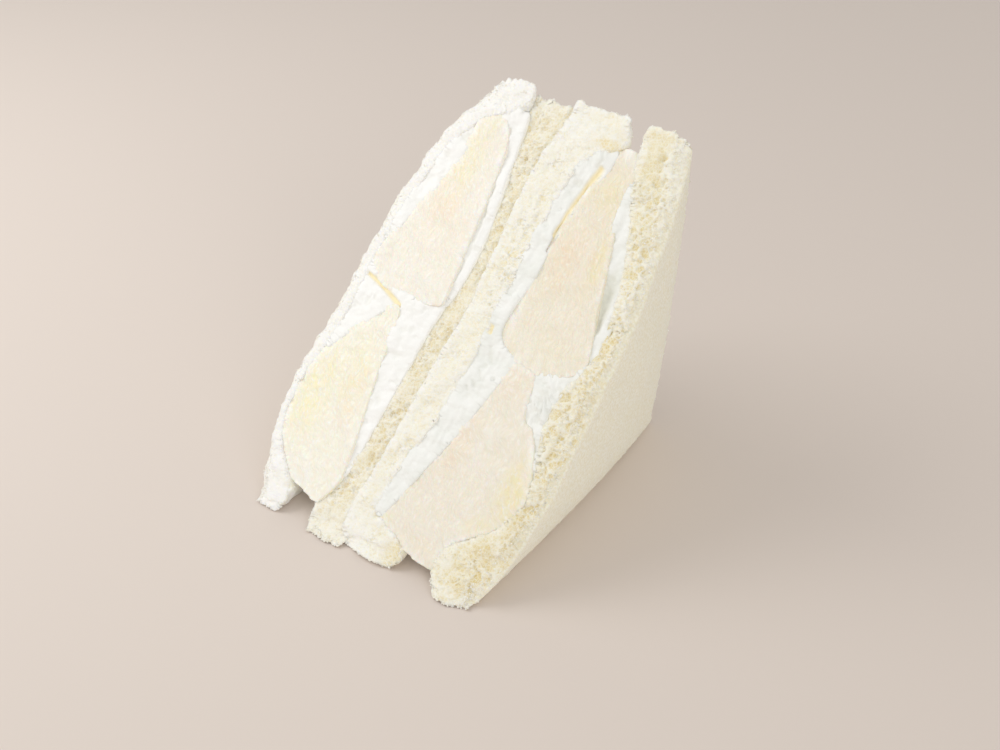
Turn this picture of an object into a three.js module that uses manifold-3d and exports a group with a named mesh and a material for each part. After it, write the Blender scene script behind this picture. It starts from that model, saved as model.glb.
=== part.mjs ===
// A whipped cream and peach sandwich of soft white bread, cut from corner to corner.
// Its two halves stand side by side on a trimmed edge, with both cut faces to the front.
// Millimetres. +X runs across the layers, +Y from the cut faces to the back, +Z up.
import * as THREE from "three";
import { mergeVertices } from "three/addons/utils/BufferGeometryUtils.js";
import Module from "manifold-3d";

const wasm = await Module();
wasm.setup();

// Driving sizes
const LEG = 90; // trimmed side of a slice
const CUT = LEG * Math.SQRT2; // length of a cut face, from the front tip up to the top
const GAP = 0.3; // least air between neighbouring pieces
const LAYER_GAP = 0.5; // air between a slice and what lies on it, where both are smooth
const SEAM = 0.5; // air between the two halves
const TIP_BLUNT = 0.5; // how far the knife pushes a thin tip back
const TIP_SOFT = 3; // length over which a tip is blunted
const REACH_FADE = 14; // length over which a slice's own reach at a tip fades out
const TRIM = 2.2; // how far the cream stays behind a trimmed edge
const SWELL = 1.5; // how soon a half fills out on its way from the square corner to the cut
const SWAY = 0.5; // how far the layers wave to the sides, all together
const NEAR_CUT = 0.2; // share of the depth over which the relief of the cut fades out
const CRUMB_RELIEF = 0.45; // how uneven the cut is on bread
const CREAM_RELIEF = 0.35; // how uneven the cut is on cream
const ROLL = 2.2; // how far the cut rolls over towards the round outside of an outer slice
const POCKET_LIP = 1.2; // how far the room cut for a peach piece reaches ahead of its face
const AHEAD = 3; // how far the room between two slices reaches ahead of the cut
const MERGE = 1e-3; // points closer than this are one
const FINEST = 0.08; // detail finer than this is dropped where one piece is cut by another

// Facets of a layer: along the cut, from the cut to the square corner, and through the layer
const ALONG = 32;
const INWARD = 8;
const THROUGH = 3;
const CREAM_THROUGH = 5;

// Facets of a peach piece: between two points of its outline, and from its cut face to its end
const SPLIT = 2;
const RINGS = 6;

const COLOURS = {
  bread: { color: 0xf7f2e2, roughness: 0.95 },
  cream: { color: 0xfbfaf4, roughness: 0.7 },
  peach: { color: 0xf4e2c2, roughness: 0.45 },
};

// Where the layers meet on the cut face: [distance along the cut from the front tip, x]
const EDGES = {
  leftOuter: [
    [0, -35.6], [14, -39.9], [31, -41.9], [64, -39], [80, -38], [98, -34.9], [114, -30.1],
    [127, -22.3],
  ],
  leftFill: [
    [0, -28.4], [7, -27.3], [18, -36.6], [31, -39], [52, -35.3], [76, -34.2], [98, -30],
    [112, -24.5], [118, -19.6], [120.5, -14.6], [122.5, -11.3], [127, -10.4],
  ],
  leftInner: [
    [0, -17.4], [6, -17.8], [12, -14.8], [34, -12], [50, -10.7], [64, -9.3], [73, -6.8],
    [87, -6], [112, -8.2], [127, -9.8],
  ],
  seam: [
    [0, -5.6], [8, -7.9], [20, -6.2], [50, -3.5], [72, -1.4], [100, -1.1], [114, 0.2], [121, 2],
    [127, 3.2],
  ],
  rightInner: [
    [0, 8.6], [4, 10.8], [7.5, 9.4], [10.5, 0.6], [13, -0.9], [30, 1.6], [46, 4.9], [64, 5.8],
    [88, 6.9], [104, 8.8], [114, 11.2], [117.5, 14.5], [120.5, 19.6], [127, 18.6],
  ],
  rightFill: [
    [0, 23.6], [6, 20.8], [12, 21.8], [20, 31], [28, 35.8], [37, 35.6], [48, 31.6], [56, 31.6],
    [66, 36], [80, 36.2], [95, 33], [110, 28], [119, 25], [127, 24.2],
  ],
  rightOuter: [
    [0, 33.6], [10, 37.4], [30, 40.7], [62, 41.1], [80, 41.6], [98, 40.3], [114, 38.9],
    [127, 36.4],
  ],
};

// Where the same layers end at the square corner, at the back of the base
const CORNER = {
  leftOuter: -31.5,
  leftFill: -19.8,
  leftInner: -13,
  seam: -0.6,
  rightInner: 12,
  rightFill: 18.6,
  rightOuter: 30.6,
};

// Each slice: the edges it lies between, how far it reaches past the others at its front tip
// and at its top, how far its crumb sinks behind the cut, and which side is its round outside
const SLICES = [
  {
    name: "bread_left_outer", from: "leftOuter", to: "leftFill",
    front: 1.2, top: 1.3, sink: 0, outside: 0, seed: 1,
  },
  {
    name: "bread_left_inner", from: "leftInner", to: "seam",
    front: 1.9, top: -0.2, sink: 1.3, outside: null, seed: 2,
  },
  {
    name: "bread_right_inner", from: "seam", to: "rightInner",
    front: -0.3, top: 0.9, sink: -0.2, outside: null, seed: 3,
  },
  {
    name: "bread_right_outer", from: "rightFill", to: "rightOuter",
    front: 0.9, top: 0.3, sink: 0.2, outside: 1, seed: 4,
  },
];

// Each half's cream: the slices it lies between, where it starts and stops along the cut,
// and how far it sinks behind the cut on its way from one slice to the other
const CREAMS = [
  {
    name: "cream_left", from: "leftFill", to: "leftInner",
    start: 9.5, stop: 121, sink: [0.2, 0.1, 0.9], seed: 5,
  },
  {
    name: "cream_right", from: "rightInner", to: "rightFill",
    start: 9.5, stop: 118.5, sink: [0, 0.5, 1.1], seed: 6,
  },
];

// Each peach piece: its outline on the cut face as [x, distance along the cut], its depth,
// how far it drifts along the cut as it goes in, and how far its face sinks behind the cut
const PEACHES = [
  {
    name: "peach_left_upper",
    half: 0,
    outline: [
      [-17.5, 119], [-21, 117], [-22, 111], [-24, 98.5], [-28, 90], [-31.5, 80], [-33.6, 73],
      [-32.6, 69.2], [-27, 65.8], [-20, 65.6], [-9.6, 66.6], [-9.2, 68.5], [-9.6, 84],
      [-10.5, 103], [-12.5, 114.5],
    ],
    depth: 25,
    drift: -0.2,
    sink: 0,
  },
  {
    name: "peach_left_lower",
    half: 0,
    outline: [
      [-20.3, 61.8], [-22.8, 61.4], [-27, 56.5], [-33.5, 48.5], [-37.6, 40.5], [-39.1, 33],
      [-38.9, 25], [-36, 16.5], [-32, 11.6], [-24, 9.3], [-17.8, 7.8], [-14.8, 10], [-14.8, 15],
      [-16.3, 30], [-18.4, 45],
    ],
    depth: 24,
    drift: 0.2,
    sink: 0.1,
  },
  {
    name: "peach_right_upper",
    half: 1,
    outline: [
      [21.5, 120], [18.8, 117.5], [18, 113], [15.8, 108], [14.3, 102], [12.5, 92], [11.9, 82],
      [9.7, 72], [9.4, 66.5], [12, 63], [20, 60.4], [27, 60.9], [34.6, 65], [34.9, 67],
      [31.4, 79], [28.5, 93], [26, 103], [25, 118],
    ],
    depth: 25,
    drift: -0.2,
    sink: 0.5,
  },
  {
    name: "peach_right_lower",
    half: 1,
    outline: [
      [23.2, 59.6], [17, 60], [15.8, 57], [13, 47], [10.4, 38], [6.5, 28], [3, 18.5], [0.3, 11],
      [1.2, 9.6], [8, 8.2], [20.6, 6], [21, 9.5], [24, 15], [31, 20.5], [34.6, 26], [35.2, 32],
      [32.6, 40], [28.6, 46.8], [25.6, 47.8], [24.2, 55],
    ],
    depth: 24,
    drift: 0.2,
    sink: 0.3,
  },
];

// A smooth curve x(distance along the cut) through the knots, held level past its ends.
function smooth(knots) {
  const at = knots.map(([s]) => s);
  const spline = new THREE.CubicInterpolant(at, knots.map(([, x]) => x), 1);
  return (s) => spline.evaluate(THREE.MathUtils.clamp(s, at[0], at.at(-1)))[0];
}

const edgeOnCut = Object.fromEntries(Object.entries(EDGES).map(([name, knots]) => [name, smooth(knots)]));

// How full the sandwich is at share r of the way from the square corner to the cut.
const swell = (r) => 1 - (1 - r) ** SWELL;

// The whole sandwich waves a little, the same for all its layers.
const sway = (y, z) => SWAY * Math.sin(y / 19 + 0.6) * Math.sin(z / 23 + 0.4);

// How much of the relief of the cut is left at share r.
const nearCut = (r) => Math.max(0, 1 - (1 - r) / NEAR_CUT);

// The x of an edge at any y and z.
function edge(name, y, z) {
  const r = THREE.MathUtils.clamp((z + LEG / 2 - y) / LEG, 1e-6, 1);
  const s = (Math.SQRT2 * z) / r;
  return CORNER[name] + (edgeOnCut[name](s) - CORNER[name]) * swell(r) + sway(y, z);
}

// Uneven relief, from -1 to 1, that differs from one seed to the next.
function relief(a, b, seed) {
  const first = Math.sin(a * 0.83 + seed * 2.1 + 1.3 * Math.sin(b * 0.47 + seed));
  const second = Math.sin(a * 0.37 - b * 0.61 + seed * 4.7);
  return 0.6 * first + 0.4 * second;
}

// The point on a ray from an apex by the square corner to a place s along the cut.
function onRay(apex, s, r) {
  const y = -LEG / 2 + s / Math.SQRT2;
  const z = s / Math.SQRT2;
  return [apex[0] + (y - apex[0]) * r, apex[1] + (z - apex[1]) * r];
}

// The surface of a block whose points are at(u, v, w), each from 0 to 1. At v = 1 it narrows to a line.
function shell(nu, nv, nw, at) {
  const corners = [];
  const quad = (a, b, c, d) => corners.push(a, c, b, a, d, c);
  const point = (i, j, k) => at(i / nu, j / nv, k / nw);
  for (let i = 0; i < nu; i++)
    for (let j = 0; j < nv; j++) {
      quad(point(i, j, 0), point(i, j + 1, 0), point(i + 1, j + 1, 0), point(i + 1, j, 0));
      quad(point(i, j, nw), point(i + 1, j, nw), point(i + 1, j + 1, nw), point(i, j + 1, nw));
    }
  for (let i = 0; i < nu; i++)
    for (let k = 0; k < nw; k++)
      quad(point(i, 0, k), point(i + 1, 0, k), point(i + 1, 0, k + 1), point(i, 0, k + 1));
  for (let j = 0; j < nv; j++)
    for (let k = 0; k < nw; k++) {
      quad(point(0, j, k), point(0, j, k + 1), point(0, j + 1, k + 1), point(0, j + 1, k));
      quad(point(nu, j, k), point(nu, j + 1, k), point(nu, j + 1, k + 1), point(nu, j, k + 1));
    }
  return closed(corners);
}

// A geometry from the corners of its triangles, with shared points merged and empty triangles dropped.
function closed(corners) {
  const kept = [];
  for (let i = 0; i < corners.length; i += 3) {
    const [a, b, c] = corners.slice(i, i + 3);
    if (Math.min(a.distanceTo(b), b.distanceTo(c), c.distanceTo(a)) > MERGE) kept.push(a, b, c);
  }
  return mergeVertices(new THREE.BufferGeometry().setFromPoints(kept), MERGE);
}

// Places along the cut crowd towards both tips, and rows crowd towards the cut.
const along = (u) => u - 0.5 * (Math.sin(2 * Math.PI * u) / (2 * Math.PI));
const inward = (v) => 1 - v ** 1.7;

function sliceGeometry({ from, to, front, top, sink, outside, seed }) {
  const apex = [LEG / 2, 0];
  const margin = (name) => (name === "seam" ? SEAM / 2 : 0);
  return shell(ALONG, INWARD, THROUGH, (u, v, w) => {
    const s = CUT * along(u);
    const r = inward(v);
    const [rayY, rayZ] = onRay(apex, s, r);
    // The cut sinks unevenly and rolls over towards the round outside.
    const rolled = outside === null ? 0 : ROLL * (outside === 1 ? w : 1 - w) ** 4;
    const back = nearCut(r) * (sink + rolled + CRUMB_RELIEF * relief(s, w * 9, seed));
    // Blunt tips, and a reach of each slice's own.
    const reached = (amount, away) =>
      amount * r * Math.exp(-away / REACH_FADE) - TIP_BLUNT * nearCut(r) * Math.exp(-away / TIP_SOFT);
    const y = Math.min(LEG / 2, rayY - reached(front, s) + back / Math.SQRT2);
    const z = Math.max(0, rayZ + reached(top, CUT - s) - back / Math.SQRT2);
    const low = edge(from, y, z) + margin(from);
    const high = edge(to, y, z) - margin(to);
    return new THREE.Vector3(THREE.MathUtils.lerp(low, high, w), y, z);
  });
}

function creamGeometry({ from, to, start, stop, sink, seed }) {
  const apex = [LEG / 2 - TRIM, TRIM];
  const sunk = smooth(sink.map((depth, i) => [i / (sink.length - 1), depth]));
  return shell(ALONG, INWARD, CREAM_THROUGH, (u, v, w) => {
    const s = start + (stop - start) * along(u);
    const r = inward(v);
    const [y, z] = onRay(apex, s, r);
    const back = nearCut(r) * (sunk(w) + CREAM_RELIEF * relief(s * 0.8, w * 7, seed));
    return new THREE.Vector3(
      THREE.MathUtils.lerp(edge(from, y, z) + LAYER_GAP, edge(to, y, z) - LAYER_GAP, w),
      y + back / Math.SQRT2,
      z - back / Math.SQRT2,
    );
  });
}

// The room between a half's slices, as far as a peach piece may fill it.
function roomGeometry({ from, to }) {
  const apex = [LEG / 2, 0];
  return shell(ALONG, INWARD, 1, (u, v, w) => {
    const s = TRIM + (CUT - 2 * TRIM) * along(u);
    const [y, z] = onRay(apex, s, inward(v));
    const ahead = v === 0 ? AHEAD : 0;
    return new THREE.Vector3(
      w === 0 ? edge(from, y, z) + LAYER_GAP : edge(to, y, z) - LAYER_GAP,
      y - ahead,
      z + ahead,
    );
  });
}

// A piece of peach: its outline on the cut face, closing in a round end as it goes deeper.
// A margin grows it to the sides and to its end, and a lip grows it forwards.
function peachGeometry({ outline, depth, drift, sink }, margin = 0, lip = 0) {
  const corners = outline.map(([x, s]) => new THREE.Vector3(x, s, 0));
  const round = new THREE.CatmullRomCurve3(corners, true, "centripetal");
  const rim = round.getPoints(SPLIT * corners.length).slice(1);
  const middle = new THREE.Box3().setFromPoints(rim).getCenter(new THREE.Vector3());
  const reach = rim.map((p) => p.clone().sub(middle));
  const deepest = depth + margin;
  const place = (direction, length, t) => {
    const x = middle.x + direction.x * length;
    const s = middle.y + direction.y * length + drift * t;
    return new THREE.Vector3(x, -LEG / 2 + (s + t) / Math.SQRT2, (s - t) / Math.SQRT2);
  };
  const ring = (turn) => {
    const t = sink - (turn === 0 ? lip : 0) + deepest * Math.sin(turn);
    return reach.map((p) => {
      const direction = p.clone().normalize();
      return place(direction, (p.length() + margin) * Math.cos(turn) ** 0.8, t);
    });
  };
  const rings = Array.from({ length: RINGS }, (_, j) => ring(((j / RINGS) * Math.PI) / 2));
  const still = new THREE.Vector3();
  const face = place(still, 0, sink - lip);
  const end = place(still, 0, sink + deepest);
  const triangles = [];
  for (let i = 0; i < rim.length; i++) {
    const n = (i + 1) % rim.length;
    triangles.push(face, rings[0][i], rings[0][n]);
    triangles.push(end, rings.at(-1)[n], rings.at(-1)[i]);
    for (let j = 0; j + 1 < RINGS; j++) {
      const [near, far] = [rings[j], rings[j + 1]];
      triangles.push(near[i], far[n], near[n], near[i], far[i], far[n]);
    }
  }
  return closed(triangles);
}

// To and from solids that can be cut
function solid(geometry) {
  return new wasm.Manifold(
    new wasm.Mesh({
      numProp: 3,
      vertProperties: geometry.attributes.position.array,
      triVerts: new Uint32Array(geometry.index.array),
    }),
  );
}

function geometryOf(made) {
  const { vertProperties, triVerts } = made.getMesh();
  const geometry = new THREE.BufferGeometry();
  geometry.setAttribute("position", new THREE.BufferAttribute(new Float32Array(vertProperties), 3));
  geometry.setIndex(new THREE.BufferAttribute(new Uint32Array(triVerts), 1));
  return geometry;
}

// A solid with a neighbour cut away from it, and a gap of air with it on every side.
function clearOf(made, neighbour) {
  for (const axis of [0, 1, 2])
    for (const side of [-GAP, GAP]) {
      const shift = [0, 0, 0];
      shift[axis] = side;
      made = made.subtract(neighbour.translate(shift));
    }
  return made;
}

// The largest body of a solid, without slivers: what a cut leaves loose is a scrap.
function largest(made) {
  return made.simplify(FINEST).decompose().sort((a, b) => b.volume() - a.volume())[0];
}

const sandwich = new THREE.Group();

function add(name, geometry, kind) {
  geometry.computeVertexNormals();
  const mesh = new THREE.Mesh(geometry, new THREE.MeshStandardMaterial({ ...COLOURS[kind], metalness: 0 }));
  mesh.name = name;
  sandwich.add(mesh);
}

const slices = SLICES.map((slice) => {
  const geometry = sliceGeometry(slice);
  add(slice.name, geometry, "bread");
  return solid(geometry);
});

CREAMS.forEach((cream, half) => {
  const between = slices.slice(2 * half, 2 * half + 2);
  const pieces = PEACHES.filter((peach) => peach.half === half);
  let room = solid(roomGeometry(cream));
  let filling = solid(creamGeometry(cream));
  for (const peach of pieces) {
    const piece = between.reduce(clearOf, solid(peachGeometry(peach)).intersect(room));
    add(peach.name, geometryOf(largest(piece)), "peach");
    const pocket = solid(peachGeometry(peach, GAP, POCKET_LIP));
    room = room.subtract(pocket);
    filling = filling.subtract(pocket);
  }
  add(cream.name, geometryOf(largest(between.reduce(clearOf, filling))), "cream");
});

export default sandwich;
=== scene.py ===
# The looks of a whipped cream and peach sandwich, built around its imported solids.
# The frame is in metres. The helpers below work in millimetres, as the solids were drawn.
import math

import bmesh
import bpy
import numpy as np
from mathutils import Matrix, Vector, kdtree, noise


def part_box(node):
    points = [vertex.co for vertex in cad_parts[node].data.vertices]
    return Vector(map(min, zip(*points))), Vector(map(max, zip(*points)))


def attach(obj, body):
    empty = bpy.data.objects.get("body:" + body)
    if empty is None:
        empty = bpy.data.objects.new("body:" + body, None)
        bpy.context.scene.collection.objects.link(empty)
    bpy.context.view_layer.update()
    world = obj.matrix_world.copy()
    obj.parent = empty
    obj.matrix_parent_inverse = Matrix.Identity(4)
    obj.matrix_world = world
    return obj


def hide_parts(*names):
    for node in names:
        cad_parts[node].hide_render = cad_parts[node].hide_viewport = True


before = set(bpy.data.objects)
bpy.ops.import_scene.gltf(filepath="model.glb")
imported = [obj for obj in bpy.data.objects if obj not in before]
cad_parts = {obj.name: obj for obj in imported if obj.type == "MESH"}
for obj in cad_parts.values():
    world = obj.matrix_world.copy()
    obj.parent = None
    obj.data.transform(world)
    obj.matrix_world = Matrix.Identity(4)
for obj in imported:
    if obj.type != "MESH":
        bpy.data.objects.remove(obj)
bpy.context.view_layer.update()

MM = 0.001
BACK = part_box("bread_right_inner")[1].y / MM  # half the trimmed side of a slice
ROOT2 = math.sqrt(2)
CUT_NORMAL = np.array([0, -1, 1]) / ROOT2  # out of both cut faces

# The camera, from the photo's perspective
CAMERA_AT = (177.1, -226.9, 243.0)
CAMERA_LOOK = (-0.4745, 0.6489, -0.5948)
LENS = 50
SENSOR = 36

# Mesh sizes, before the cut is made twice as fine
BREAD_GRAIN = 0.59
CREAM_GRAIN = 0.62
PEACH_GRAIN = 0.63
CUT_DEPTH = 3.5  # how far behind the cut its finer mesh reaches
LAST_SMOOTHING = ("SMOOTH", {"factor": 0.5, "iterations": 1})

# How far a piece grows into the air that the solids leave between them, by the cut and behind it
CLOSE_UP = {"bread": (0.65, 0), "cream": (0.9, 0.2), "peach": (0.6, 0.2)}
EDGE_ROUNDING = 0.3  # how far the round edges of the cut are squared up
SEEN = 0.02  # the least share of the cut, or of another face, that gets noise
SHAKE_APART = Vector((31.7, 12.9, 47.3))  # between the noises of a vector's three parts

# Bread: the sizes of its noises, its heights and depths, and its loose crumbs
PATCH_SIZE = 5
PUFF_SIZE = 2.6
FLUFF_SIZE = 0.8
CELL_DEPTH = 0.55
GRAIN_DEPTH = 0.16
FLUFF_HEIGHT = 0.07
CUT_PUFFS = 0.24
SIDE_PUFFS = 0.12
SMEAR_HEIGHT = 0.5
EDGE_WEAR = 0.6
RIM_FRAY = 0.3
TIP_FRAY = 0.4
TIP_PUSH = 1.3
TIP_LIFT = 0.7
PALE_RIM_WIDTH = 2.2  # width of the pale rim of the cut
CRUMBS = 4500
CRUMB_SIZES = (0.08, 0.26)
CRUMB_SHAPES = 12

# Cream: the sizes of its noises, its heights and its depths
LUMP_SIZE = 3
FOLD_SIZE = 1.9
SHRED_SIZE = 1.0
PIT_SIZE = 2.1
LUMP_HEIGHT = 0.3
FOLD_HEIGHT = 0.24
SWELL_HEIGHT = 0.8
SHRED_HEIGHT = 0.9
LIP_HEIGHT = 0.12
LIP_WIDTH = 1.3
PIT_DEPTH = 0.3
CRACK_DEPTH = 0.8
SLIT_DEPTH = 0.4
MARKED_PIT_DEPTH = 0.8
HOLLOW_DEPTH = 1.4

# Fruit: the sizes of its noises, its heights and its fibres
WAVE_SIZE = 6
FIBRE_SIZE = 0.75
WAVE_HEIGHT = 0.18
FIBRE_HEIGHT = 0.12
BULGE_HEIGHT = 0.6
FIBRE_STRETCH = 2.6
FIBRE_SWAY = 1.6

# Colours that all pieces of a kind share
CRUMBS_DULL = (0.94, 0.915, 0.82)
CRUMBS_LIGHT = (0.975, 0.965, 0.92)
# Painted shade for the cream's slits, pits, torn troughs and hollows
CREAM_PAINTED_SHADE = (0.73, 0.73, 0.62)
# Painted golden glow and shade in the cracks between cream and fruit
CRACK_GLOW_AND_SHADE = (0.97, 0.86, 0.56)
CREAM_VEIL = (0.965, 0.96, 0.92)

# Tints, which multiply a piece's own colour
CRUMB_BLOTCH = (0.99, 0.975, 0.93)
# Deepens the cell colour where a slice's gold marks put painted shade and glow
GOLDEN_GLOW_SHADE_TINT = (0.98, 0.95, 0.84)
FLESH_PINK = (1.0, 0.92, 0.85)
# Golden tone of the flesh, with painted glow near the bread and the cracks
FLESH_GOLD_AND_GLOW = (0.995, 0.965, 0.71)
FLESH_MOTTLE = (0.99, 0.98, 0.955)
# Pale fibres, with painted glints on them
FLESH_THREAD_GLINTS = (1.04, 1.06, 1.12)

# The stage, in metres and watts. Lights have a name, direction, distance, size, power and colour.
FLOOR_COLOUR = (0.74, 0.66, 0.6, 1)
FLOOR_REACH = 4
WORLD_COLOUR = (1, 0.99, 0.975, 1)
WORLD_STRENGTH = 0.62
LIGHTS_AIM = Vector((0, 0, 0.04))
LIGHTS = [
    ("key", (-0.85, -0.3, 0.75), 0.5, 0.35, 1.05, (1, 0.995, 0.98)),
    ("fill", (0.9, -0.6, 0.5), 1.2, 0.9, 3.9, (1, 0.97, 0.93)),
]

# Marks on the cut are ellipses: x, s (the distance along the cut from the front tip), half-width,
# half-height and strength. Strokes are lists of x, s and the half-width there.

# A slice's outer side looks along x as "outside" says, and an inner slice has none. Its cut has
# crumb cells of size "cell", which show where it is open.
# The cell colour of a slice is painted shade and glow in its open crumb cells and pores.
SLICES = {
    "bread_left_outer": {
        "name": "outer_slice_left",
        "seed": 1,
        "outside": -1,
        "openness": 0.15,
        "open": [(-27, 6, 5, 6, 0.3)],
        # Its gold marks are painted shade and glow in two pores, and a painted glow through the crumb at
        # the tip.
        "golden_glow_and_shade": [(-22.2, 111.5, 1, 1.6, 0.8), (-24.3, 107.6, 1.1, 1.2, 0.9), (-27.2, 8.6, 2.6, 1.8, 0.8)],
        "dents": [(-22.2, 111.5, 1, 1.6, 0.6), (-24.3, 107.6, 1.1, 1.2, 0.7), (-26.6, 8.2, 2.8, 2.2, 0.9)],
        "pale": [],
        "cell": 0.9,
        "smears": [],
        "fluffy": 1,
        "crumb": (0.965, 0.96, 0.915),
        "pocket": (0.94, 0.91, 0.78),
        "wall": (0.98, 0.975, 0.945),
        "side": [(0.94, 0.92, 0.82), (0.98, 0.965, 0.90)],
    },
    "bread_left_inner": {
        "name": "inner_slice_left",
        "seed": 2,
        "outside": 0,
        "openness": 0.62,
        "open": [],
        # Its gold marks are painted shade and glow in its pores.
        "golden_glow_and_shade": [
            (-5.2, 109.7, 0.9, 0.9, 1), (-5.5, 92, 0.7, 1.5, 0.7), (-5.8, 73, 1, 1.8, 0.7),
            (-7.2, 66.5, 0.8, 1.2, 0.7), (-9.5, 24, 1.3, 2.2, 1), (-9.2, 28.6, 0.6, 0.7, 1),
            (-13, 4, 2, 3, 0.3),
        ],
        "dents": [(-5.2, 109.7, 0.8, 0.8, 1), (-9.5, 24, 1.2, 2, 0.9), (-9.2, 28.6, 0.5, 0.6, 0.9)],
        "pale": [(-13, 3, 7, 7, 0.9), (-5, 126, 7, 5, 0.8)],
        "cell": 0.9,
        "smears": [],
        "fluffy": 0.5,
        # Its crumb and cell colours are darker partly from its own beige tone and partly from painted
        # shade over its sunk cut.
        "crumb": (0.84, 0.77, 0.54),
        "pocket": (0.80, 0.68, 0.41),
        "wall": (0.95, 0.935, 0.86),
        "side": [(0.91, 0.875, 0.73), (0.97, 0.95, 0.85)],
    },
    "bread_right_inner": {
        "name": "inner_slice_right",
        "seed": 3,
        "outside": 0,
        "openness": 0.36,
        "open": [(4, 92, 4, 34, 0.3), (0, 30, 3, 20, 0.15)],
        # Its gold marks by the top right and at the tip are painted shade under its overhang and on a face
        # turned from the light; the rest are painted shade and glow in pores.
        "golden_glow_and_shade": [
            (5, 100, 1.2, 2, 0.5), (-2.5, 26, 1.2, 3, 0.4), (-0.3, 38, 0.8, 1.6, 0.5),
            (-0.4, 12, 1.1, 1.4, 1), (16.5, 119.2, 4.8, 1.7, 1.5), (8.3, 4.6, 3, 5.2, 1.3),
            (5.5, 67.5, 0.8, 1, 0.6),
        ],
        "dents": [(9, 4.6, 4.6, 6, 1.3), (-0.4, 12, 1.2, 1.5, 0.8), (5, 100, 1, 1.8, 0.3)],
        "pale": [(-4, 4, 7, 9, 1), (4, 121, 8, 8, 0.7)],
        "cell": 0.85,
        "smears": [],
        "fluffy": 0.8,
        "crumb": (0.925, 0.89, 0.755),
        "pocket": (0.88, 0.79, 0.54),
        "wall": (0.965, 0.957, 0.905),
        "side": [(0.92, 0.89, 0.76), (0.975, 0.955, 0.87)],
    },
    "bread_right_outer": {
        "name": "outer_slice_right",
        "seed": 4,
        "outside": 1,
        "openness": 0.45,
        "open": [
            (37, 76, 4, 30, 0.9), (36, 52, 5, 16, 0.8), (38.5, 32, 3.6, 18, 0.7), (31, 9, 5, 9, 0.25),
            (33, 104, 5, 20, 0.35),
        ],
        # Its broad gold marks low on the cut are painted shade over that part; the small ones are painted
        # shade and glow in pores.
        "golden_glow_and_shade": [
            (30.7, 120.3, 1.4, 1.5, 1), (28.5, 6, 4, 5, 0.55), (37, 77, 1.6, 3, 0.8),
            (36.2, 71, 1.4, 2.4, 0.8), (35.5, 55.5, 1, 1.2, 0.9), (34.5, 48.8, 1.4, 1.8, 0.7),
            (38, 24, 5, 13, 1.2), (31, 12, 5, 8, 1), (39.5, 42, 5, 17, 1.2), (39, 66, 5, 16, 1),
        ],
        "dents": [
            (30.7, 120.3, 1.3, 1.4, 1.2), (37, 77, 1.5, 2.6, 0.9), (36.2, 71, 1.3, 2.2, 0.9),
            (35.5, 55.5, 0.9, 1.1, 0.8),
        ],
        "pale": [
            (23, 11, 2.4, 7, 1), (26, 3, 8, 3, 0.9), (25.6, 110, 1.6, 16, 0.8), (36, 121, 8, 8, 0.8),
        ],
        "cell": 1.2,
        "smears": [
            (34.6, 43, 2.2, 7, 1), (36, 32, 1.8, 6, 0.8), (33.5, 60, 2, 6, 0.5), (27.6, 106, 1.6, 11, 1),
        ],
        "fluffy": 0.25,
        "crumb": (0.835, 0.755, 0.50),
        "pocket": (0.785, 0.665, 0.36),
        "wall": (0.945, 0.93, 0.84),
        "side": [(0.89, 0.845, 0.67), (0.97, 0.95, 0.83)],
    },
}

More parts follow.
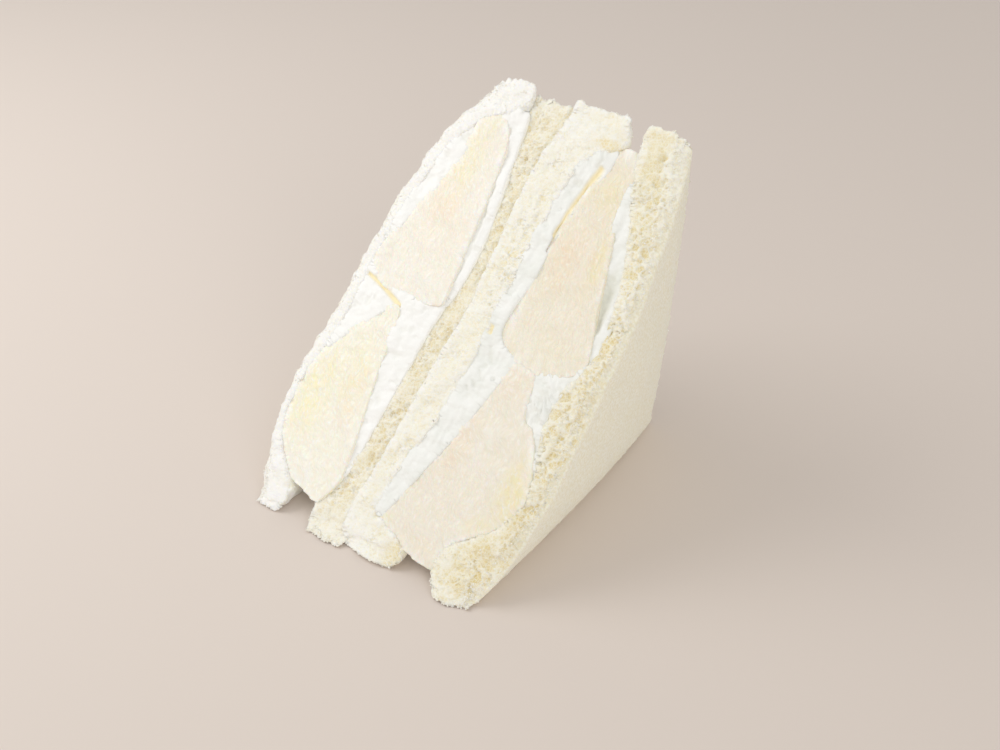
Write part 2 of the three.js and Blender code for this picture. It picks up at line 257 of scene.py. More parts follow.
# The folds of a filling run up the cut and lean by "turn"
# A filling's slits, pits, torn troughs and hollows get painted shade, and its cracks a painted golden glow
# and shade.
CREAMS = {
    "left": {
        "name": "filling_left",
        "seed": 5,
        "turn": 0.05,
        "crinkled": 0.5,
        "light": (0.965, 0.967, 0.95),
        "dull": (0.945, 0.95, 0.925),
        "torn": [],
        "hollows": [],
        "pits": [(-15.3, 31.5, 0.6, 0.8, 0.7), (-12.5, 41.5, 0.7, 1.1, 0.5), (-29.5, 62, 0.7, 0.9, 0.4)],
        "slits": [
            [(-9.6, 100, 0.4), (-8.9, 92, 0.6), (-8.3, 82, 0.7), (-8.5, 74, 0.4)],
            [(-12.6, 115.6, 0.4), (-10.9, 109, 0.5), (-10.2, 102, 0.4)],
            [(-10.2, 88, 0.3), (-9.9, 80, 0.5), (-9.6, 70, 0.4)],
        ],
        "cracks": [[(-33.6, 67.2, 0.7), (-27, 65.2, 0.9), (-21, 62.5, 1.1), (-20.2, 62, 0.3)]],
        "swells": [
            (-15, 63, 5, 4, 0.5), (-28, 58, 4, 6, 0.4), (-33, 86, 3, 22, 0.6), (-27, 104, 4, 9, 0.6),
            (-15, 119.5, 7, 3, 0.6), (-8.4, 92, 1.8, 26, 0.5),
        ],
    },
    "right": {
        "name": "filling_right",
        "seed": 6,
        "turn": -0.1,
        "crinkled": 1,
        "light": (0.925, 0.933, 0.905),
        "dull": (0.865, 0.88, 0.84),
        "torn": [(29, 53, 5.5, 10, 1), (33.4, 42, 2.4, 9, 0.5)],
        "hollows": [(32, 81, 2.6, 12, 1)],
        "pits": [
            (13.7, 54.6, 0.6, 0.7, 0.9), (27, 58.4, 0.7, 0.6, 0.8), (9.2, 95, 0.6, 0.8, 0.6),
            (8.4, 76, 0.5, 0.9, 0.6), (10.9, 100, 0.6, 0.6, 0.8),
        ],
        "slits": [
            [(9.2, 61.8, 0.4), (10, 59.6, 0.9), (11.4, 57.8, 0.4)],
            [(9, 55.5, 0.3), (10.5, 53, 0.4)],
            [(8.4, 52.4, 0.3), (9.8, 51, 0.5)],
            [(7.4, 50.6, 0.3), (8.3, 49.5, 0.4)],
            [(15.2, 113, 0.4), (16.4, 115.2, 0.5), (15.4, 117, 0.3)],
        ],
        "cracks": [
            [(16.4, 113, 1), (15, 107.5, 1.3), (13.4, 101, 1), (12.3, 95, 0.5), (11.8, 89, 0.1)],
            [(7.2, 66.6, 0.7), (7.5, 65, 0.7)],
        ],
        "swells": [
            (15.8, 115.2, 2.6, 2.8, 1), (26.6, 107, 1.8, 12, 0.7), (29, 58, 5, 4, 0.8),
            (31, 50, 3, 6, 0.8), (33.6, 40, 2.4, 8, 0.5), (34, 66, 2.5, 4, 1),
        ],
    },
}

# The fibres of a fruit lean by "fibres", and the cream on its edge is "smear" wide
# A fruit's gold marks are partly its golden tone and partly painted glow where light comes through near
# the bread and the cracks.
FRUITS = {
    "left_upper": {
        "name": "fruit_left_upper",
        "seed": 7,
        "smear": 2,
        "swells": [(-20, 114, 7, 9, 1), (-32, 76, 3, 8, 0.6)],
        "fibres": 0.42,
        "flesh": (0.925, 0.885, 0.785),
        "pink": [(-21, 93, 7, 13, 1.2), (-15, 86, 4, 10, 0.5)],
        "golden_glow_and_shade": [(-20, 105, 6, 15, 0.75), (-18, 115, 4, 5, 0.7)],
        "veil": [(-19, 121, 5, 3, 0.6), (-24, 70, 16, 5, 0.3)],
    },
    "left_lower": {
        "name": "fruit_left_lower",
        "seed": 8,
        "smear": 1.8,
        "swells": [],
        "fibres": 0.42,
        "flesh": (0.945, 0.905, 0.79),
        "pink": [(-22, 37, 5, 12, 0.9)],
        "golden_glow_and_shade": [(-34, 34, 9, 18, 0.9), (-15, 11, 3.5, 5, 0.7), (-25, 42, 8, 14, 0.5)],
        "veil": [(-41.5, 30, 4, 24, 1), (-36, 48, 4, 10, 0.5), (-27, 13, 9, 5, 0.55)],
    },
    "right_upper": {
        "name": "fruit_right_upper",
        "seed": 9,
        "smear": 1.3,
        "swells": [(21, 118, 5, 4, 0.4)],
        "fibres": 0.35,
        "flesh": (0.875, 0.82, 0.69),
        "pink": [(18, 89, 6, 13, 1.1), (26, 90, 4, 12, 0.9), (22, 102, 5, 8, 0.6)],
        "golden_glow_and_shade": [(22, 108, 6, 8, 0.65), (27, 92, 3, 12, 0.7), (17, 109, 1.8, 6, 1), (25, 66, 8, 5, 0.25)],
        "veil": [(21, 62, 14, 7, 0.35), (11, 73, 3, 9, 0.8), (22, 119, 4, 4, 0.8)],
    },
    "right_lower": {
        "name": "fruit_right_lower",
        "seed": 10,
        "smear": 1.3,
        "swells": [(34, 34, 3, 12, 0.6), (26, 17, 6, 3, 0.5)],
        "fibres": 0.35,
        "flesh": (0.885, 0.835, 0.725),
        "pink": [
            (12, 38, 5.5, 14, 0.9), (20, 55, 5, 6, 0.6), (15, 10.5, 6, 2.5, 0.6), (32.5, 30, 4, 9, 1.3),
        ],
        "golden_glow_and_shade": [(32, 31, 6, 14, 1.1), (28, 20, 6, 5, 0.8), (2, 12, 3, 3, 0.7)],
        "veil": [(19, 39, 3, 8, 0.25)],
    },
}


# Vertices


def mesh_arrays(mesh):
    """Vertex places in millimetres, and vertex normals."""
    count = len(mesh.vertices)
    places = np.empty(count * 3, np.float32)
    normals = np.empty(count * 3, np.float32)
    mesh.vertices.foreach_get("co", places)
    mesh.vertex_normals.foreach_get("vector", normals)
    return places.reshape(-1, 3).astype(float) / MM, normals.reshape(-1, 3).astype(float)


def set_mask(mesh, name, values):
    """A value for each vertex that the material reads by name."""
    mask = mesh.attributes.new(name, "FLOAT", "POINT")
    mask.data.foreach_set("value", np.clip(values, 0, 1).astype(np.float32))


def ramp(values, low, high):
    """0 at low and 1 at high, with soft ends. Low may be above high."""
    share = np.clip((np.asarray(values, float) - low) / (high - low), 0, 1)
    return share * share * (3 - 2 * share)


def cut_place(places):
    """Distance along the cut from the front tip, and depth behind the cut."""
    along = (places[:, 1] + BACK + places[:, 2]) / ROOT2
    behind = (places[:, 1] + BACK - places[:, 2]) / ROOT2
    return along, behind


class Skin:
    """A piece's vertices in millimetres, and how they lie to the cut."""

    def __init__(self, piece):
        self.mesh = piece.data
        self.places, self.normals = mesh_arrays(piece.data)
        self.x = self.places[:, 0]
        self.along, self.behind = cut_place(self.places)
        self.facing = self.normals @ CUT_NORMAL
        sideways = self.normals - self.facing[:, None] * CUT_NORMAL
        length = np.linalg.norm(sideways, axis=1)
        self.outwards = sideways / np.maximum(length, 1e-6)[:, None]
        self.turned = ramp(length, 0.1, 0.45)  # 0 on the cut itself, 1 round its edge and beyond
        self.cut = ramp(self.facing, 0.2, 0.7) * ramp(self.behind, 9, 4)
        self.rim = self.turned * ramp(self.behind, 3, 1)

    def closing(self, slot, outside=0):
        """How far to grow towards the neighbours. The round outside of a slice stays where it is."""
        by_cut, behind = CLOSE_UP[slot]
        growth = self.turned * (behind + (by_cut - behind) * ramp(self.behind, 5, 2))
        return growth * ramp(self.outwards[:, 0] * outside, 0.6, 0.1)

    def squaring(self):
        """How far forwards to move the round edge of the cut, to make it a square one."""
        return EDGE_ROUNDING * ramp(self.facing, 0.1, 0.35) * (1 - self.facing) * ramp(self.behind, 3, 1.5)

    def move(self, along_normals, sideways, forwards):
        """Moves each vertex along its normal, and across and out of the plane of the cut."""
        self.places = self.places + self.normals * along_normals[:, None]
        self.places += self.outwards * sideways[:, None]
        self.places += CUT_NORMAL * forwards[:, None]
        self.mesh.vertices.foreach_set("co", (self.places * MM).astype(np.float32).ravel())
        self.mesh.update()

    def marked(self, marks):
        """The strength of the strongest mark at each vertex, 0 outside them all."""
        value = np.zeros(len(self.x))
        for x, along, wide, high, strength in marks:
            away = np.hypot((self.x - x) / wide, (self.along - along) / high)
            value = np.maximum(value, strength * ramp(away, 1.15, 0.15))
        return value

    def stroked(self, strokes):
        """1 on the middle lines of strokes, 0 from their edges on."""
        spots = np.stack([self.x, self.along], axis=1)
        nearest = np.full(len(spots), 9.0)
        for points in strokes:
            for (x0, s0, half0), (x1, s1, half1) in zip(points, points[1:]):
                run = np.array([x1 - x0, s1 - s0])
                share = np.clip((spots - (x0, s0)) @ run / (run @ run), 0, 1)
                away = np.linalg.norm(spots - (x0, s0) - share[:, None] * run, axis=1)
                nearest = np.minimum(nearest, away / (half0 + (half1 - half0) * share))
        return ramp(nearest, 1, 0.2)

    def laid(self, turn, stretch):
        """Places turned in the plane of the cut and shortened along one direction of it."""
        across = self.x * math.cos(turn) + self.along * math.sin(turn)
        lengthwise = self.along * math.cos(turn) - self.x * math.sin(turn)
        return np.stack([across, lengthwise / stretch, self.behind], axis=1)


# Noise


def each(function, places, where):
    """The function's value at each place where asked for, and 0 elsewhere."""
    values = np.zeros(len(places))
    for i in np.flatnonzero(where):
        values[i] = function(Vector(places[i]))
    return values


def shaken(p):
    """A vector of noise. Blender's own noise_vector differs from run to run, and this one doesn't."""
    return Vector((noise.noise(p), noise.noise(p + SHAKE_APART), noise.noise(p - SHAKE_APART)))


def crumb_cells(cell, seed):
    """The distances to the nearest middles of crumb cells of one size, and those middles."""
    offset = Vector((seed * 17.3, seed * 5.1, seed * 9.7))
    return lambda p: noise.voronoi(p / cell + 0.4 * shaken(p * (1.1 / cell)) + offset)


def cell_walls(cell, seed, wall):
    """1 in the middle of the walls between crumb cells, 0 inside them."""
    cells = crumb_cells(cell, seed)

    def at(p):
        distances, _ = cells(p)
        return max(0.0, 1 - (distances[1] - distances[0]) / wall)

    return at


def foam(cell, open_share, seed, wall):
    """Crumb cells of one size: 0 on the walls between them, up to 1 in the open ones."""
    cells = crumb_cells(cell, seed)

    def at(p):
        distances, points = cells(p)
        depth = (0.5 + 0.5 * noise.cell(points[0] * 7.3) - 1 + open_share) / open_share
        if depth <= 0:
            return 0.0
        inside = min(1.0, (distances[1] - distances[0]) / wall)
        return depth * inside * inside * (3 - 2 * inside)

    return at


def grain_noise(size, octaves, seed):
    """Fractal noise, about -1 to 1, with features of a size."""
    offset = Vector((seed * 3.7, seed * 11.9, seed * 7.7))

    def at(p):
        return noise.fractal(p / size + offset, 1.0, 2.0, octaves)

    return at


def creases(size, seed):
    """0 on sharp creases, up to 1 on the round folds between them."""
    offset = Vector((seed * 6.1, seed * 2.9, seed * 8.3))

    def at(p):
        coarse = abs(noise.noise(p / size + offset))
        fine = abs(noise.noise(p * (2.3 / size) - offset))
        return min(1.0, 1.6 * coarse + 0.7 * fine)

    return at


# Meshes


def evaluated(piece, *kinds):
    """Gives the piece its mesh with the modifiers of these kinds applied."""
    for kind, settings in kinds:
        modifier = piece.modifiers.new(kind.title(), kind)
        for name, value in settings.items():
            setattr(modifier, name, value)
    graph = bpy.context.evaluated_depsgraph_get()
    mesh = bpy.data.meshes.new_from_object(piece.evaluated_get(graph))
    piece.modifiers.clear()
    old = piece.data
    piece.data = mesh
    bpy.data.meshes.remove(old)


def refine_cut(piece):
    """Halves the mesh size on the cut and just behind it."""
    form = bmesh.new()
    form.from_mesh(piece.data)
    middles = np.array([face.calc_center_median() for face in form.faces]) / MM
    facing = np.array([face.normal for face in form.faces]) @ CUT_NORMAL
    _, behind = cut_place(middles)
    picked = (behind < CUT_DEPTH) & (facing > 0.1)
    edges = [edge for face, keep in zip(form.faces, picked) if keep for edge in face.edges]
    in_order = list(dict.fromkeys(edges))  # each once, and the same way in each run
    bmesh.ops.subdivide_edges(form, edges=in_order, cuts=1, use_grid_fill=True)
    bmesh.ops.triangulate(form, faces=[face for face in form.faces if len(face.verts) > 4])
    form.to_mesh(piece.data)
    form.free()


def dressed(node, name, grain, rounding):
    """A new piece with a node's form, fine enough to carry relief."""
    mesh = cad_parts[node].data.copy()
    mesh.materials.clear()
    piece = bpy.data.objects.new(name, mesh)
    bpy.context.scene.collection.objects.link(piece)
    weld = ("WELD", {"merge_threshold": 1e-5})
    remesh = ("REMESH", {"mode": "VOXEL", "voxel_size": grain * MM, "use_smooth_shade": True})
    smooth = ("SMOOTH", {"factor": 0.5, "iterations": rounding})
    evaluated(piece, weld, remesh, smooth)
    refine_cut(piece)
    evaluated(piece, LAST_SMOOTHING)
    piece.data.shade_smooth()
    return piece


def near_edge(skin, width):
    """1 at the edge of the cut, and 0 from a width inside it on."""
    edge = np.flatnonzero((skin.turned > 0.5) & (skin.behind < 1.5))
    tree = kdtree.KDTree(len(edge))
    for i in edge:
        tree.insert(Vector(skin.places[i]), i)
    tree.balance()
    distance = each(lambda p: tree.find(p)[2], skin.places, skin.cut > SEEN)
    return skin.cut * ramp(distance, width, 0)


# Bread


def trimmed_edges(skin):
    """1 on the round edges of the trimmed sides, away from the cut."""
    slanted = 1 - np.abs(skin.normals).max(axis=1)
    inside = np.minimum(BACK - skin.places[:, 1], skin.places[:, 2])
    return ramp(slanted, 0.05, 0.25) * ramp(inside, 2.5, 1) * ramp(skin.behind, 4, 7)


def wear_tip(skin, puffs):
    """Pushes the front tip back unevenly, and lifts its lower edge off the floor."""
    skin.places[:, 1] += TIP_PUSH * ramp(skin.along, 7, 0.5) * ramp(puffs, -0.5, 0.6)
    skin.places[:, 2] += TIP_LIFT * ramp(skin.along, 6, 0.5) * ramp(skin.places[:, 2], 3, 0)


class Crumb:
    """The noises and shares of a skin that a slice's relief and colours are made of."""

    def __init__(self, skin, look):
        seed, cell = look["seed"], look["cell"]
        upright, level = ramp(skin.normals[:, 1], 0.5, 0.9), ramp(-skin.normals[:, 2], 0.5, 0.9)
        self.side = ramp(skin.normals[:, 0] * look["outside"], 0.35, 0.8)
        self.trimmed = np.maximum(upright, level)
        on_cut = skin.cut > SEEN
        seen = skin.cut + self.side + self.trimmed + skin.rim > SEEN
        patches = each(grain_noise(PATCH_SIZE, octaves=2, seed=seed + 40), skin.places, on_cut)
        self.small = each(foam(cell, open_share=0.95, seed=seed, wall=0.26), skin.places, seen)
        large = each(foam(2 * cell, open_share=0.6, seed=seed + 10, wall=0.2), skin.places, on_cut)
        small_walls = each(cell_walls(cell, seed, wall=0.3), skin.places, on_cut)
        large_walls = each(cell_walls(2 * cell, seed + 10, wall=0.2), skin.places, on_cut)
        self.fluff = each(grain_noise(FLUFF_SIZE, octaves=3, seed=seed), skin.places, seen)
        self.puffs = each(grain_noise(PUFF_SIZE, octaves=2, seed=seed + 30), skin.places, seen)
        openness = look["openness"] + skin.marked(look["open"]) + 0.35 * patches
        self.pale = skin.marked(look["pale"])
        self.opened = skin.cut * ramp(openness, 0.3, 0.85) * (1 - self.pale)
        self.cells = self.opened * np.maximum(0.75 * self.small, large)
        self.rough = np.clip(skin.cut + self.trimmed + 0.45 * self.side, 0, 1)
        spots = ramp(self.fluff + 0.6 * self.puffs, -0.1, 0.25)
        self.smeared = skin.cut * skin.marked(look["smears"]) * spots
        net = np.maximum(large_walls, small_walls * ramp(large, 0.5, 0.1))
        self.walls = net * (0.4 + 0.6 * self.opened)


def bread_relief(piece, look):
    """Crumb on the cut, finer grain on the other sides, and ragged edges. Gives the finished skin."""
    skin = Skin(piece)
    crumb = Crumb(skin, look)
    sunk = CELL_DEPTH * crumb.cells + GRAIN_DEPTH * crumb.rough * crumb.small
    sunk += skin.cut * skin.marked(look["dents"])
    sunk *= 1 - 0.8 * crumb.smeared
    puff_height = CUT_PUFFS * skin.cut + SIDE_PUFFS * np.maximum(crumb.side, crumb.trimmed)
    proud = FLUFF_HEIGHT * crumb.rough * crumb.fluff + puff_height * crumb.puffs
    proud += SMEAR_HEIGHT * crumb.smeared
    proud += EDGE_WEAR * trimmed_edges(skin) * (0.7 * crumb.puffs + 0.8 * crumb.fluff)
    tips = ramp(skin.along, 12, 3) + ramp(skin.along, 118, 126)
    frayed = skin.rim * (RIM_FRAY + TIP_FRAY * tips) * (crumb.puffs + 0.3 * crumb.fluff)
    ragged = skin.closing("bread", look["outside"]) + frayed
    wear_tip(skin, crumb.puffs)
    off_floor = ramp(skin.places[:, 2], 0.05, 1.2)
    squared = 0.7 * off_floor * skin.squaring() * (1 - crumb.side)
    skin.move(off_floor * (proud - sunk), off_floor * ragged, squared)
    set_bread_masks(skin, look, crumb)
    return skin


def set_bread_masks(skin, look, crumb):
    """Where each colour of a slice shows. Its pale rim is measured on the moved skin."""
    # Painted shade and glow: a darker golden colour in the open crumb cells and fine pores
    pockets = 0.9 * crumb.cells + (0.45 * crumb.rough + 0.35 * crumb.trimmed) * crumb.small
    away = (1 - skin.cut) * ramp(skin.behind, 1, 6) * (1 - 0.5 * crumb.trimmed * crumb.small)
    # Painted shade and glow where the gold marks are
    golden_glow_shade = np.minimum(skin.marked(look["golden_glow_and_shade"]), 1) * ramp(skin.behind, 6, 3)
    puffed = look["fluffy"] * (1 - 0.8 * crumb.opened) * ramp(crumb.puffs + 0.3 * crumb.fluff, -0.3, 0.5)
    pale_rim = skin.rim + near_edge(skin, PALE_RIM_WIDTH) * ramp(crumb.puffs + crumb.fluff, -0.7, 0.3)
    pale_rim *= 1 - 0.9 * golden_glow_shade
    set_mask(skin.mesh, "wall", skin.cut * np.maximum(crumb.walls, crumb.smeared))
    set_mask(skin.mesh, "side", np.maximum(crumb.side, away))
    set_mask(skin.mesh, "pocket", pockets)
    set_mask(skin.mesh, "golden_glow_and_shade", golden_glow_shade * (0.7 + 0.3 * crumb.small))
    set_mask(skin.mesh, "fluff", np.maximum(0.65 * puffed, 0.8 * pale_rim) + skin.cut * crumb.pale)


def crumb_shapes(count):
    """Lumpy little balls of radius 1, and the faces that all of them share."""
    form = bmesh.new()
    bmesh.ops.create_icosphere(form, subdivisions=1, radius=1)
    ball = [corner.co.copy() for corner in form.verts]
    faces = np.array([[corner.index for corner in face.verts] for face in form.faces])
    form.free()
    lump = grain_noise(size=0.9, octaves=2, seed=3)
    shapes = [[p * (1 + 0.5 * lump(p + Vector((i * 5.3, 0, 0)))) for p in ball] for i in range(count)]
    return np.array(shapes), faces


def add_crumbs(skins):
    """Loose crumbs that cling to the edges of the slices, most of all at the tips."""
    places = np.concatenate([skin.places for skin in skins])
    normals = np.concatenate([skin.normals for skin in skins])
    tips = [ramp(skin.along, 14, 2) + ramp(skin.along, 116, 126) for skin in skins]
    shares = [skin.rim * (0.35 + tip) + 0.15 * trimmed_edges(skin) for skin, tip in zip(skins, tips)]
    weights = np.concatenate(shares)
    weights[places[:, 2] < CRUMB_SIZES[1]] = 0
    draw = np.random.default_rng(11)
    picked = draw.choice(len(places), CRUMBS, replace=False, p=weights / weights.sum())
    smallest, largest = CRUMB_SIZES
    sizes = smallest + (largest - smallest) * draw.random(CRUMBS) ** 2
    middles = places[picked] + normals[picked] * (sizes * draw.uniform(-0.3, 0.7, CRUMBS))[:, None]
    shapes, faces = crumb_shapes(CRUMB_SHAPES)
    chosen = shapes[draw.integers(len(shapes), size=CRUMBS)]
    corners = middles[:, None, :] + chosen * sizes[:, None, None]
    count = shapes.shape[1]
    shifted = faces[None, :, :] + (np.arange(CRUMBS) * count)[:, None, None]
    mesh = bpy.data.meshes.new("crumbs")
    mesh.from_pydata((corners.reshape(-1, 3) * MM).tolist(), [], shifted.reshape(-1, 3).tolist())
    mesh.shade_smooth()
    mesh.materials.append(crumbs_material())
    piece = bpy.data.objects.new("crumbs", mesh)
    bpy.context.scene.collection.objects.link(piece)
    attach(piece, "root")


# Cream


def cream_relief(piece, look):
    """Soft folds and pits, and the cracks where the cream came away from the fruit."""
    skin = Skin(piece)
    seed = look["seed"]
    on_cut = skin.cut > SEEN
    torn = skin.cut * skin.marked(look["torn"])
    lumps = each(grain_noise(LUMP_SIZE, octaves=3, seed=seed), skin.places, skin.behind < 12)
    folds = each(creases(FOLD_SIZE, seed), skin.laid(look["turn"], stretch=2.2), on_cut)
    shreds = each(creases(SHRED_SIZE, seed + 1), skin.laid(turn=0.35, stretch=3), torn > SEEN)
    pits = each(foam(PIT_SIZE, open_share=0.28, seed=seed + 3, wall=0.5), skin.places, on_cut)
    cracks = skin.cut * skin.stroked(look["cracks"])
    slits = skin.cut * skin.stroked(look["slits"])
    hollows = skin.cut * skin.marked(look["hollows"])
    smooth = skin.cut * (1 - 0.6 * torn)
    proud = smooth * (LUMP_HEIGHT * lumps + FOLD_HEIGHT * look["crinkled"] * folds)
    proud += LIP_HEIGHT * near_edge(skin, LIP_WIDTH) - 0.1 * skin.cut
    sunk = PIT_DEPTH * skin.cut * pits + CRACK_DEPTH * cracks + SLIT_DEPTH * slits
    sunk += MARKED_PIT_DEPTH * skin.cut * skin.marked(look["pits"])
    sunk += HOLLOW_DEPTH * hollows
    swollen = SWELL_HEIGHT * skin.marked(look["swells"]) + SHRED_HEIGHT * torn * (shreds - 0.3)
    forwards = skin.cut * swollen + skin.squaring() * (1 - cracks)
    skin.move(proud - sunk, skin.closing("cream") * (1 - cracks), forwards)
    # Painted shade in the slits, pits, torn troughs and hollows
    shade = 0.2 * slits + 0.35 * torn * (1 - shreds) ** 2 + 0.2 * pits + 0.6 * hollows
    # Painted golden glow and shade in the cracks
    set_mask(skin.mesh, "golden_glow_and_shade", cracks)
    set_mask(skin.mesh, "shade", shade)


# Fruit


def fruit_relief(piece, look):
    """A cut face with faint fibres, and its colours and its fibres' course for the material."""
    skin = Skin(piece)
    seed = look["seed"]
    on_cut = skin.cut > SEEN
    waves = each(grain_noise(WAVE_SIZE, octaves=2, seed=seed), skin.places, on_cut)
    course = skin.laid(look["fibres"], FIBRE_STRETCH)
    course[:, 0] += FIBRE_SWAY * waves
    grain = each(grain_noise(FIBRE_SIZE, octaves=2, seed=seed + 1), course, on_cut)
    proud = skin.cut * (WAVE_HEIGHT * waves + FIBRE_HEIGHT * grain)
    raised = BULGE_HEIGHT * skin.cut * skin.marked(look["swells"])
    skin.move(proud, skin.closing("peach"), raised + skin.squaring())
    smeared = 0.8 * near_edge(skin, look["smear"]) * ramp(waves + grain, -0.6, 0.4)
    # The gold mask is the flesh's golden tone, with painted glow near the bread and the cracks
    for name in ("pink", "golden_glow_and_shade"):
        set_mask(skin.mesh, name, skin.marked(look[name]) * (0.85 + 0.25 * waves))
    set_mask(skin.mesh, "veil", np.maximum(smeared, skin.marked(look["veil"])))
    fibres = skin.mesh.attributes.new("fibres", "FLOAT_VECTOR", "POINT")
    fibres.data.foreach_set("vector", course.astype(np.float32).ravel())


# Materials


def new_material(name):
    material = bpy.data.materials.new(name)
    material.use_nodes = True
    nodes = material.node_tree.nodes
    return material, nodes, material.node_tree.links, nodes["Principled BSDF"]


def noise_texture(nodes, links, vector, scale, detail):
    texture = nodes.new("ShaderNodeTexNoise")
    texture.inputs["Scale"].default_value = scale
    texture.inputs["Detail"].default_value = detail
    links.new(vector, texture.inputs["Vector"])
    return texture.outputs["Fac"]


def object_noise(nodes, links, scale, detail):
    """Noise laid out in the object's own millimetres."""
    coordinates = nodes.new("ShaderNodeTexCoord")
    return noise_texture(nodes, links, coordinates.outputs["Object"], scale / MM, detail)


def fibre_noise(nodes, links, scale, detail):
    """Noise drawn out along the fibres of the fruit."""
    course = nodes.new("ShaderNodeAttribute")
    course.attribute_name = "fibres"
    return noise_texture(nodes, links, course.outputs["Vector"], scale, detail)


def mixed(nodes, links, factor, first, second):
    """Two colours, or links, mixed by a link."""
    mix = nodes.new("ShaderNodeMix")
    mix.data_type = "RGBA"
    links.new(factor, mix.inputs["Factor"])
    for socket, value in ((mix.inputs["A"], first), (mix.inputs["B"], second)):
        if isinstance(value, tuple):
            socket.default_value = (*value, 1)
        else:
            links.new(value, socket)
    return mix.outputs["Result"]


def mask(nodes, name):
    attribute = nodes.new("ShaderNodeAttribute")
    attribute.attribute_name = name
    return attribute.outputs["Fac"]


def fitted(nodes, links, value, low, high):
    """A link mapped from low..high to 0..1."""
    fit = nodes.new("ShaderNodeMapRange")
    fit.inputs["From Min"].default_value = low
    fit.inputs["From Max"].default_value = high
    links.new(value, fit.inputs["Value"])
    return fit.outputs["Result"]


def scaled(nodes, links, value, by):
    """A link times a number."""
    product = nodes.new("ShaderNodeMath")
    product.operation = "MULTIPLY"
    product.inputs[1].default_value = by
    links.new(value, product.inputs[0])
    return product.outputs["Value"]


def crumb_walls(nodes, links, size, wall):
    """1 on the thin walls between cells of a size, 0 inside them. The wall is a share of the size."""
    coordinates = nodes.new("ShaderNodeTexCoord")
    wobble = nodes.new("ShaderNodeTexNoise")
    wobble.inputs["Scale"].default_value = 1.1 / (size * MM)
    links.new(coordinates.outputs["Object"], wobble.inputs["Vector"])
    shifted = nodes.new("ShaderNodeVectorMath")
    shifted.operation = "MULTIPLY_ADD"
    shifted.inputs[1].default_value = [0.9 * size * MM] * 3
    links.new(wobble.outputs["Color"], shifted.inputs[0])
    links.new(coordinates.outputs["Object"], shifted.inputs[2])
    cells = nodes.new("ShaderNodeTexVoronoi")
    cells.feature = "DISTANCE_TO_EDGE"
    cells.inputs["Scale"].default_value = 1 / (size * MM)
    links.new(shifted.outputs["Vector"], cells.inputs["Vector"])
    return fitted(nodes, links, cells.outputs["Distance"], wall, 0)


def bumped(nodes, links, shader, height, distance):
    bump = nodes.new("ShaderNodeBump")
    bump.inputs["Distance"].default_value = distance * MM
    links.new(height, bump.inputs["Height"])
    links.new(bump.outputs["Normal"], shader.inputs["Normal"])


def soft_inside(shader, weight, radius, scale):
    shader.inputs["Subsurface Weight"].default_value = weight
    shader.inputs["Subsurface Radius"].default_value = radius
    shader.inputs["Subsurface Scale"].default_value = scale * MM


def tinted(colour, by):
    return tuple(min(0.97, c * k) for c, k in zip(colour, by))


def bread_material(look):
    crumb, pocket, wall = look["crumb"], look["pocket"], look["wall"]
    material, nodes, links, shader = new_material(look["name"])
    blotch = fitted(nodes, links, object_noise(nodes, links, scale=0.16, detail=3), 0.35, 0.65)
    base = mixed(nodes, links, blotch, tinted(crumb, CRUMB_BLOTCH), crumb)
    base = mixed(nodes, links, scaled(nodes, links, mask(nodes, "fluff"), 0.85), base, wall)
    # Painted shade and glow in the open cells and pores
    base = mixed(nodes, links, mask(nodes, "pocket"), base, pocket)
    # Painted shade and glow where the gold marks are
    base = mixed(nodes, links, mask(nodes, "golden_glow_and_shade"), base, tinted(pocket, GOLDEN_GLOW_SHADE_TINT))
    fine_walls = crumb_walls(nodes, links, size=0.8, wall=0.16)
    base = mixed(nodes, links, scaled(nodes, links, fine_walls, 0.6), base, wall)
    base = mixed(nodes, links, scaled(nodes, links, mask(nodes, "wall"), 0.85), base, wall)
    grain = fitted(nodes, links, object_noise(nodes, links, scale=1.6, detail=4), 0.42, 0.6)
    side = mixed(nodes, links, grain, *look["side"])
    base = mixed(nodes, links, mask(nodes, "side"), base, side)
    links.new(base, shader.inputs["Base Color"])
    shader.inputs["Roughness"].default_value = 0.95
    shader.inputs["Specular IOR Level"].default_value = 0.1
    shader.inputs["Sheen Weight"].default_value = 0.15
    soft_inside(shader, weight=0.35, radius=(1.0, 0.9, 0.7), scale=0.6)
    bumped(nodes, links, shader, object_noise(nodes, links, scale=3, detail=4), distance=0.12)
    return material


def crumbs_material():
    material, nodes, links, shader = new_material("crumbs")
    blotch = fitted(nodes, links, object_noise(nodes, links, scale=0.3, detail=2), 0.4, 0.6)
    links.new(mixed(nodes, links, blotch, CRUMBS_DULL, CRUMBS_LIGHT), shader.inputs["Base Color"])
    shader.inputs["Roughness"].default_value = 0.95
    shader.inputs["Specular IOR Level"].default_value = 0.1
    bumped(nodes, links, shader, object_noise(nodes, links, scale=5, detail=3), distance=0.05)
    return material


def cream_material(name, light, dull):
    material, nodes, links, shader = new_material(name)
    blotch = fitted(nodes, links, object_noise(nodes, links, scale=0.2, detail=2), 0.35, 0.65)
    base = mixed(nodes, links, blotch, dull, light)
    # Painted shade in the recesses of the cream
    base = mixed(nodes, links, mask(nodes, "shade"), base, CREAM_PAINTED_SHADE)
    # Painted golden glow and shade in the cracks
    base = mixed(nodes, links, mask(nodes, "golden_glow_and_shade"), base, CRACK_GLOW_AND_SHADE)
    links.new(base, shader.inputs["Base Color"])
    shader.inputs["Roughness"].default_value = 0.5
    shader.inputs["Specular IOR Level"].default_value = 0.3
    bumped(nodes, links, shader, object_noise(nodes, links, scale=1.8, detail=4), distance=0.1)
    return material


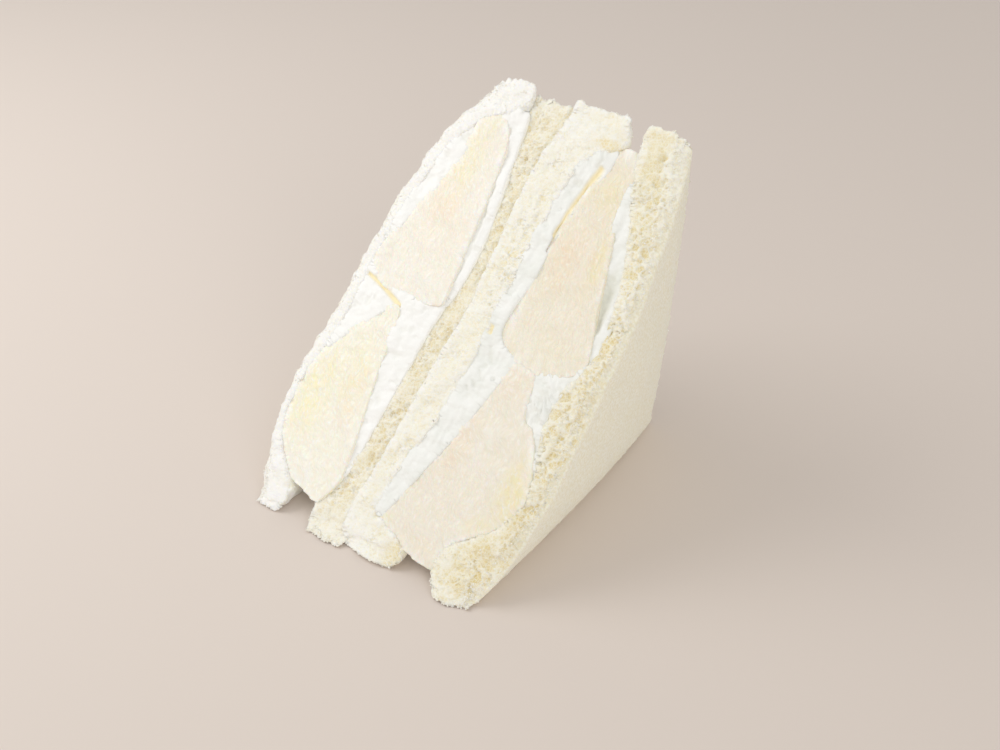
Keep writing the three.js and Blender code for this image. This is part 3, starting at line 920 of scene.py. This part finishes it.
def fruit_material(name, flesh):
    material, nodes, links, shader = new_material(name)
    base = mixed(nodes, links, mask(nodes, "pink"), flesh, tinted(flesh, FLESH_PINK))
    # Golden tone of the flesh, with painted glow near the bread and the cracks
    base = mixed(nodes, links, mask(nodes, "golden_glow_and_shade"), base, tinted(flesh, FLESH_GOLD_AND_GLOW))
    base = mixed(nodes, links, mask(nodes, "veil"), base, CREAM_VEIL)
    mottle = fitted(nodes, links, fibre_noise(nodes, links, scale=0.5, detail=2), 0.6, 0.3)
    base = mixed(nodes, links, mottle, base, tinted(flesh, FLESH_MOTTLE))
    # Pale fibres with painted glints
    thread_glints = fitted(nodes, links, fibre_noise(nodes, links, scale=2.1, detail=3), 0.52, 0.68)
    thread_glints = scaled(nodes, links, thread_glints, 0.85)
    base = mixed(nodes, links, thread_glints, base, tinted(flesh, FLESH_THREAD_GLINTS))
    links.new(base, shader.inputs["Base Color"])
    shader.inputs["Roughness"].default_value = 0.38
    shader.inputs["Specular IOR Level"].default_value = 0.4
    soft_inside(shader, weight=0.3, radius=(1.0, 0.65, 0.4), scale=0.3)
    bumped(nodes, links, shader, fibre_noise(nodes, links, scale=2, detail=3), distance=0.25)
    return material


# Pieces


def place(piece, node, material):
    piece.data.materials.append(material)
    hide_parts(node)
    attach(piece, "root")


def build_bread():
    skins = []
    for node, look in SLICES.items():
        piece = dressed(node, look["name"], BREAD_GRAIN, rounding=3)
        skins.append(bread_relief(piece, look))
        place(piece, node, bread_material(look))
    add_crumbs(skins)


def build_cream():
    for side, look in CREAMS.items():
        piece = dressed("cream_" + side, look["name"], CREAM_GRAIN, rounding=2)
        cream_relief(piece, look)
        evaluated(piece, LAST_SMOOTHING, LAST_SMOOTHING)
        place(piece, "cream_" + side, cream_material(look["name"], look["light"], look["dull"]))


def build_fruit():
    for side, look in FRUITS.items():
        piece = dressed("peach_" + side, look["name"], PEACH_GRAIN, rounding=2)
        fruit_relief(piece, look)
        evaluated(piece, LAST_SMOOTHING)
        place(piece, "peach_" + side, fruit_material(look["name"], look["flesh"]))


# Stage


def add_camera():
    data = bpy.data.cameras.new("camera")
    data.lens = LENS
    data.sensor_width = SENSOR
    camera = bpy.data.objects.new("camera", data)
    camera.location = Vector(CAMERA_AT) * MM
    camera.rotation_euler = Vector(CAMERA_LOOK).to_track_quat("-Z", "Y").to_euler()
    bpy.context.scene.collection.objects.link(camera)
    bpy.context.scene.camera = camera


def add_floor():
    mesh = bpy.data.meshes.new("floor")
    corners = [(x * FLOOR_REACH, y * FLOOR_REACH, 0) for x, y in ((-1, -1), (1, -1), (1, 1), (-1, 1))]
    mesh.from_pydata(corners, [], [(0, 1, 2, 3)])
    floor = bpy.data.objects.new("floor", mesh)
    bpy.context.scene.collection.objects.link(floor)
    material, nodes, links, shader = new_material("floor")
    shader.inputs["Base Color"].default_value = FLOOR_COLOUR
    shader.inputs["Roughness"].default_value = 0.7
    shader.inputs["Specular IOR Level"].default_value = 0.2
    mesh.materials.append(material)


def add_light(name, towards, distance, size, power, colour):
    """A square soft light that looks at the sandwich from a direction."""
    data = bpy.data.lights.new(name, "AREA")
    data.size = size
    data.energy = power
    data.color = colour
    light = bpy.data.objects.new(name, data)
    direction = Vector(towards).normalized()
    light.location = direction * distance + LIGHTS_AIM
    light.rotation_euler = (-direction).to_track_quat("-Z", "Y").to_euler()
    bpy.context.scene.collection.objects.link(light)


def add_world():
    world = bpy.data.worlds.new("world")
    world.use_nodes = True
    background = world.node_tree.nodes["Background"]
    background.inputs["Color"].default_value = WORLD_COLOUR
    background.inputs["Strength"].default_value = WORLD_STRENGTH
    bpy.context.scene.world = world


def add_stage():
    add_camera()
    add_floor()
    add_world()
    for light in LIGHTS:
        add_light(*light)
    bpy.context.scene.view_settings.view_transform = "Standard"


add_stage()
build_bread()
build_cream()
build_fruit()
